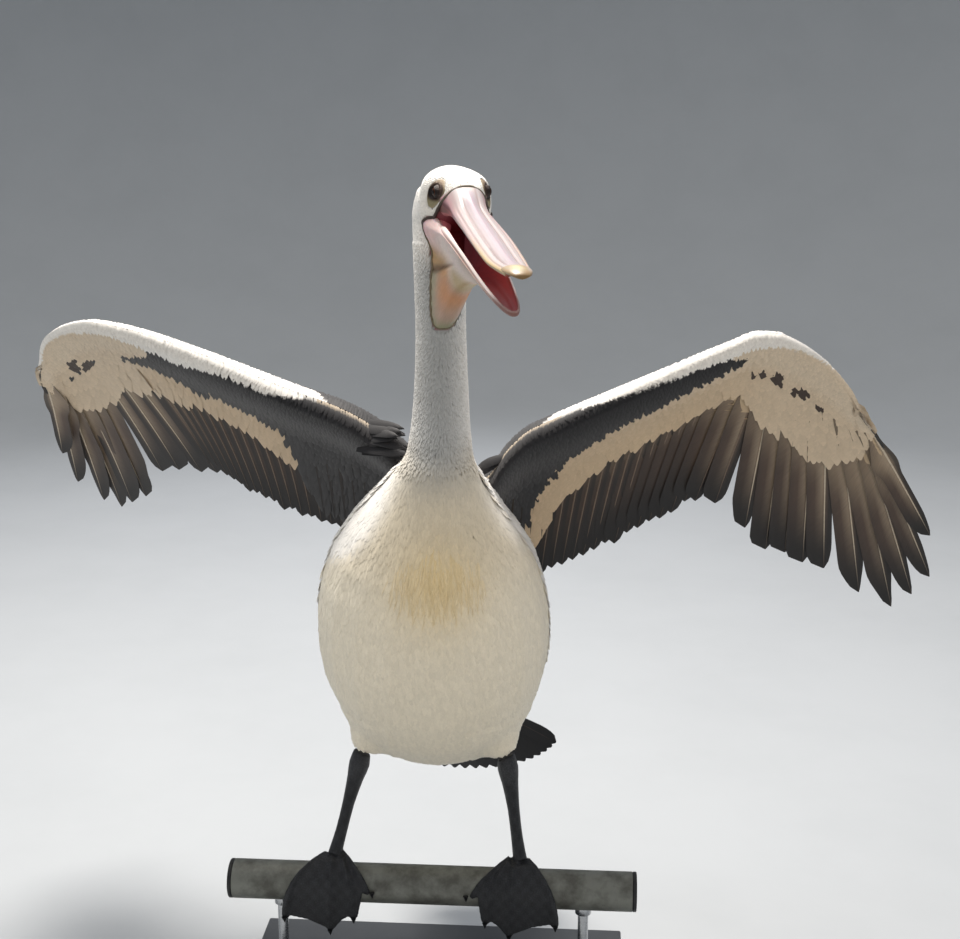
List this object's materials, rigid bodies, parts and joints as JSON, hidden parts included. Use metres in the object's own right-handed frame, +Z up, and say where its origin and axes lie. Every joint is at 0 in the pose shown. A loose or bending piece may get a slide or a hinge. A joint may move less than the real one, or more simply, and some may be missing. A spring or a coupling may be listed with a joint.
{
  "type": "pelican",
  "caption": "Life-size standing pelican with wings half open and its bill agape, gripping a short length of tube rail on a plain display stand.",
  "frame": {"origin": "centre of the underside of the display stand's base, on the floor", "axes": "+Z up; the bird faces -Y with its left side at +X; the rail and the wing span lie along X"},
  "size_m": [1.4289, 0.8866, 1.2962],
  "materials": {
    "feather_white": "matt overlapping feathers, white with cream and grey parts",
    "feather_black": "dark feathers with a soft sheen",
    "feather_brown": "brown-grey flight feathers with pale shafts",
    "bill_horn": "satin pink horn",
    "nail_horn": "satin yellow horn",
    "pouch_skin": "thin creased skin, buff to orange",
    "leg_skin": "scaled slate-black skin",
    "eye_glass": "polished dark brown",
    "rail_steel": "weathered dull grey zinc",
    "cap_plastic": "black moulded",
    "stand_board": "matt dark grey paint over board",
    "rod_steel": "satin"
  },
  "bodies": {
    "root": {"trunk": "feather_white", "neck": "feather_white", "head": "feather_white", "eye_left": "eye_glass", "eye_right": "eye_glass", "bill_upper": "bill_horn", "bill_nail": "nail_horn", "bill_lower": "bill_horn", "pouch": "pouch_skin", "wing_left_upper_arm": "feather_brown", "wing_left_forearm": "feather_brown", "wing_left_hand": "feather_brown", "scapulars_left": "feather_black", "thigh_left": "feather_white", "leg_left": "leg_skin", "foot_left": "leg_skin", "wing_right_upper_arm": "feather_brown", "wing_right_forearm": "feather_brown", "wing_right_hand": "feather_brown", "scapulars_right": "feather_black", "thigh_right": "feather_white", "leg_right": "leg_skin", "foot_right": "leg_skin", "tail": "feather_black", "perch_rail": "rail_steel", "perch_cap_left": "cap_plastic", "perch_cap_right": "cap_plastic", "stand_base": "stand_board", "stand_rod_left": "rod_steel", "stand_rod_right": "rod_steel"}
  },
  "joints": []
}
